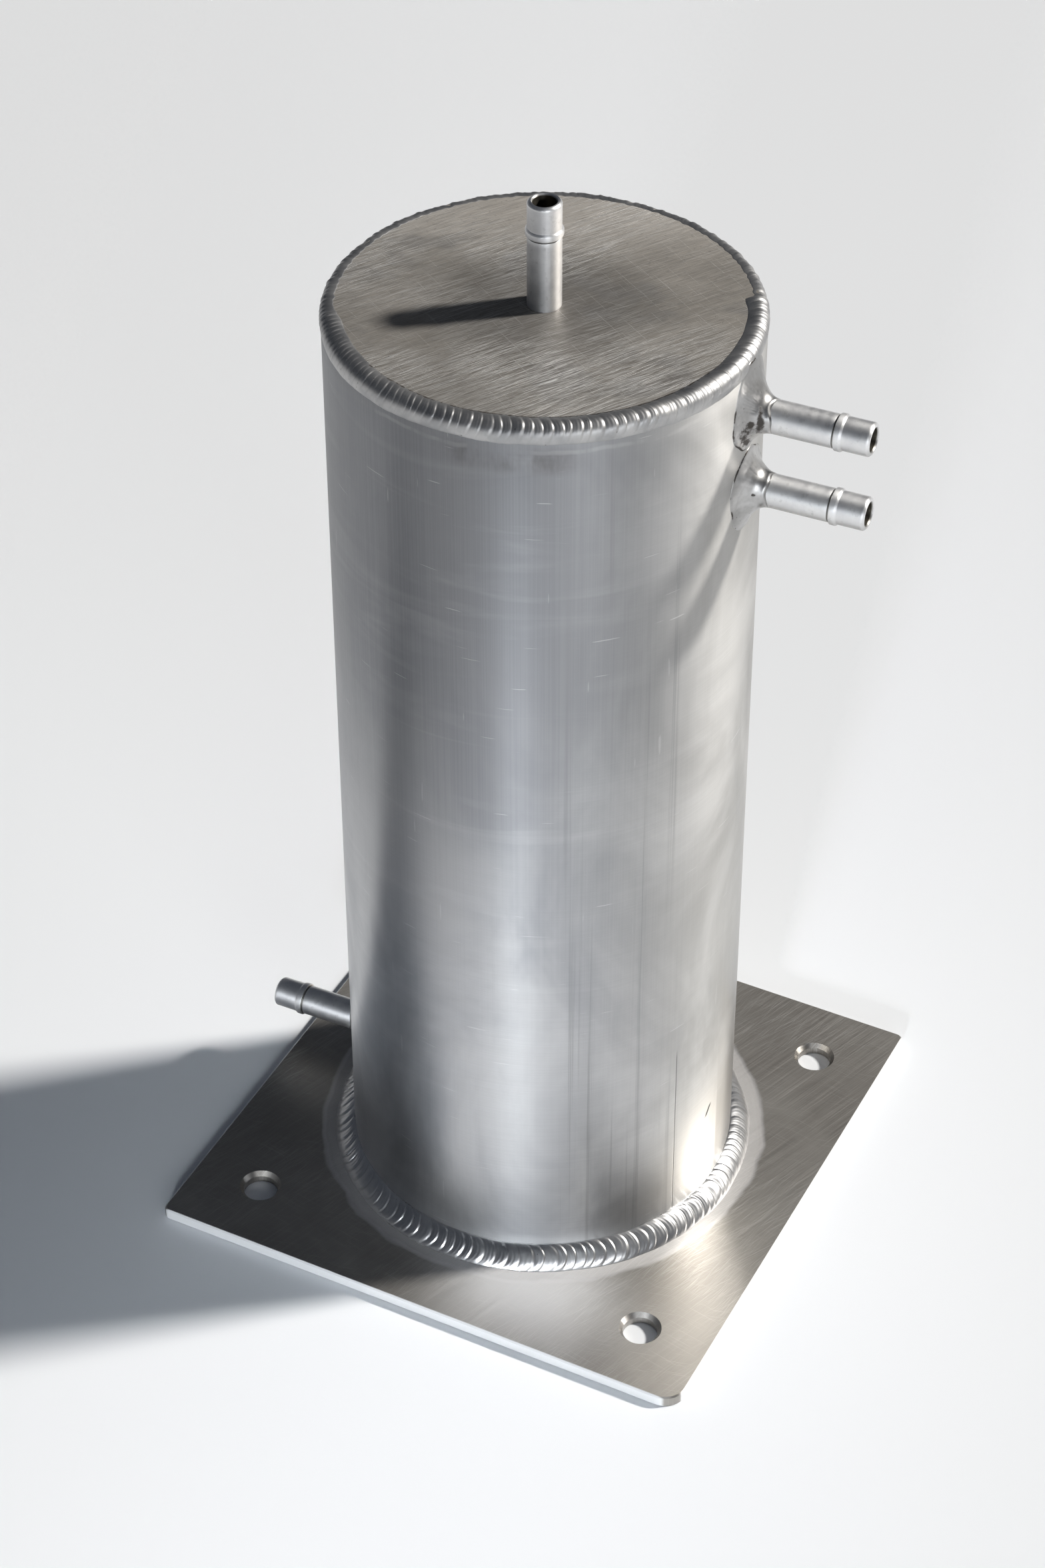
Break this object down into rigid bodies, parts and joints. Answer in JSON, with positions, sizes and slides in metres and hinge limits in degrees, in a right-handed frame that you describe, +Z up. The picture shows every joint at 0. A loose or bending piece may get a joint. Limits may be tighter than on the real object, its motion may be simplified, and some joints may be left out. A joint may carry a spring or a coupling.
{
  "type": "fuel swirl pot",
  "caption": "Welded aluminium fuel swirl pot: closed upright tube on a drilled square base plate, with turned hose tails at the top, high side and low side.",
  "frame": {"origin": "centre of the base plate's underside, which lies on the ground plane", "axes": "+Z up the pot towards the vent, +X towards the side of the two inlets, +Y to its left as seen by someone who looks along +X"},
  "size_m": [0.1602, 0.15, 0.2887],
  "materials": {
    "plate": "mill finish, finely scratched, with cleaner edges",
    "tube": "satin drawn tube with fine lines along its length",
    "cap": "mill finish with many parallel scratches",
    "tail": "turned and bright",
    "tail_weld": "smooth weld metal, with soot at the roots",
    "ring_weld": "bright rippled weld metal"
  },
  "bodies": {
    "root": {"base_plate": "plate", "body_tube": "tube", "top_cap": "cap", "vent_tail": "tail", "upper_inlet_tail": "tail", "lower_inlet_tail": "tail", "outlet_tail": "tail", "upper_inlet_weld": "tail_weld", "lower_inlet_weld": "tail_weld", "outlet_weld": "tail_weld", "vent_weld": "tail_weld", "cap_weld": "ring_weld", "base_weld": "ring_weld"}
  },
  "joints": []
}
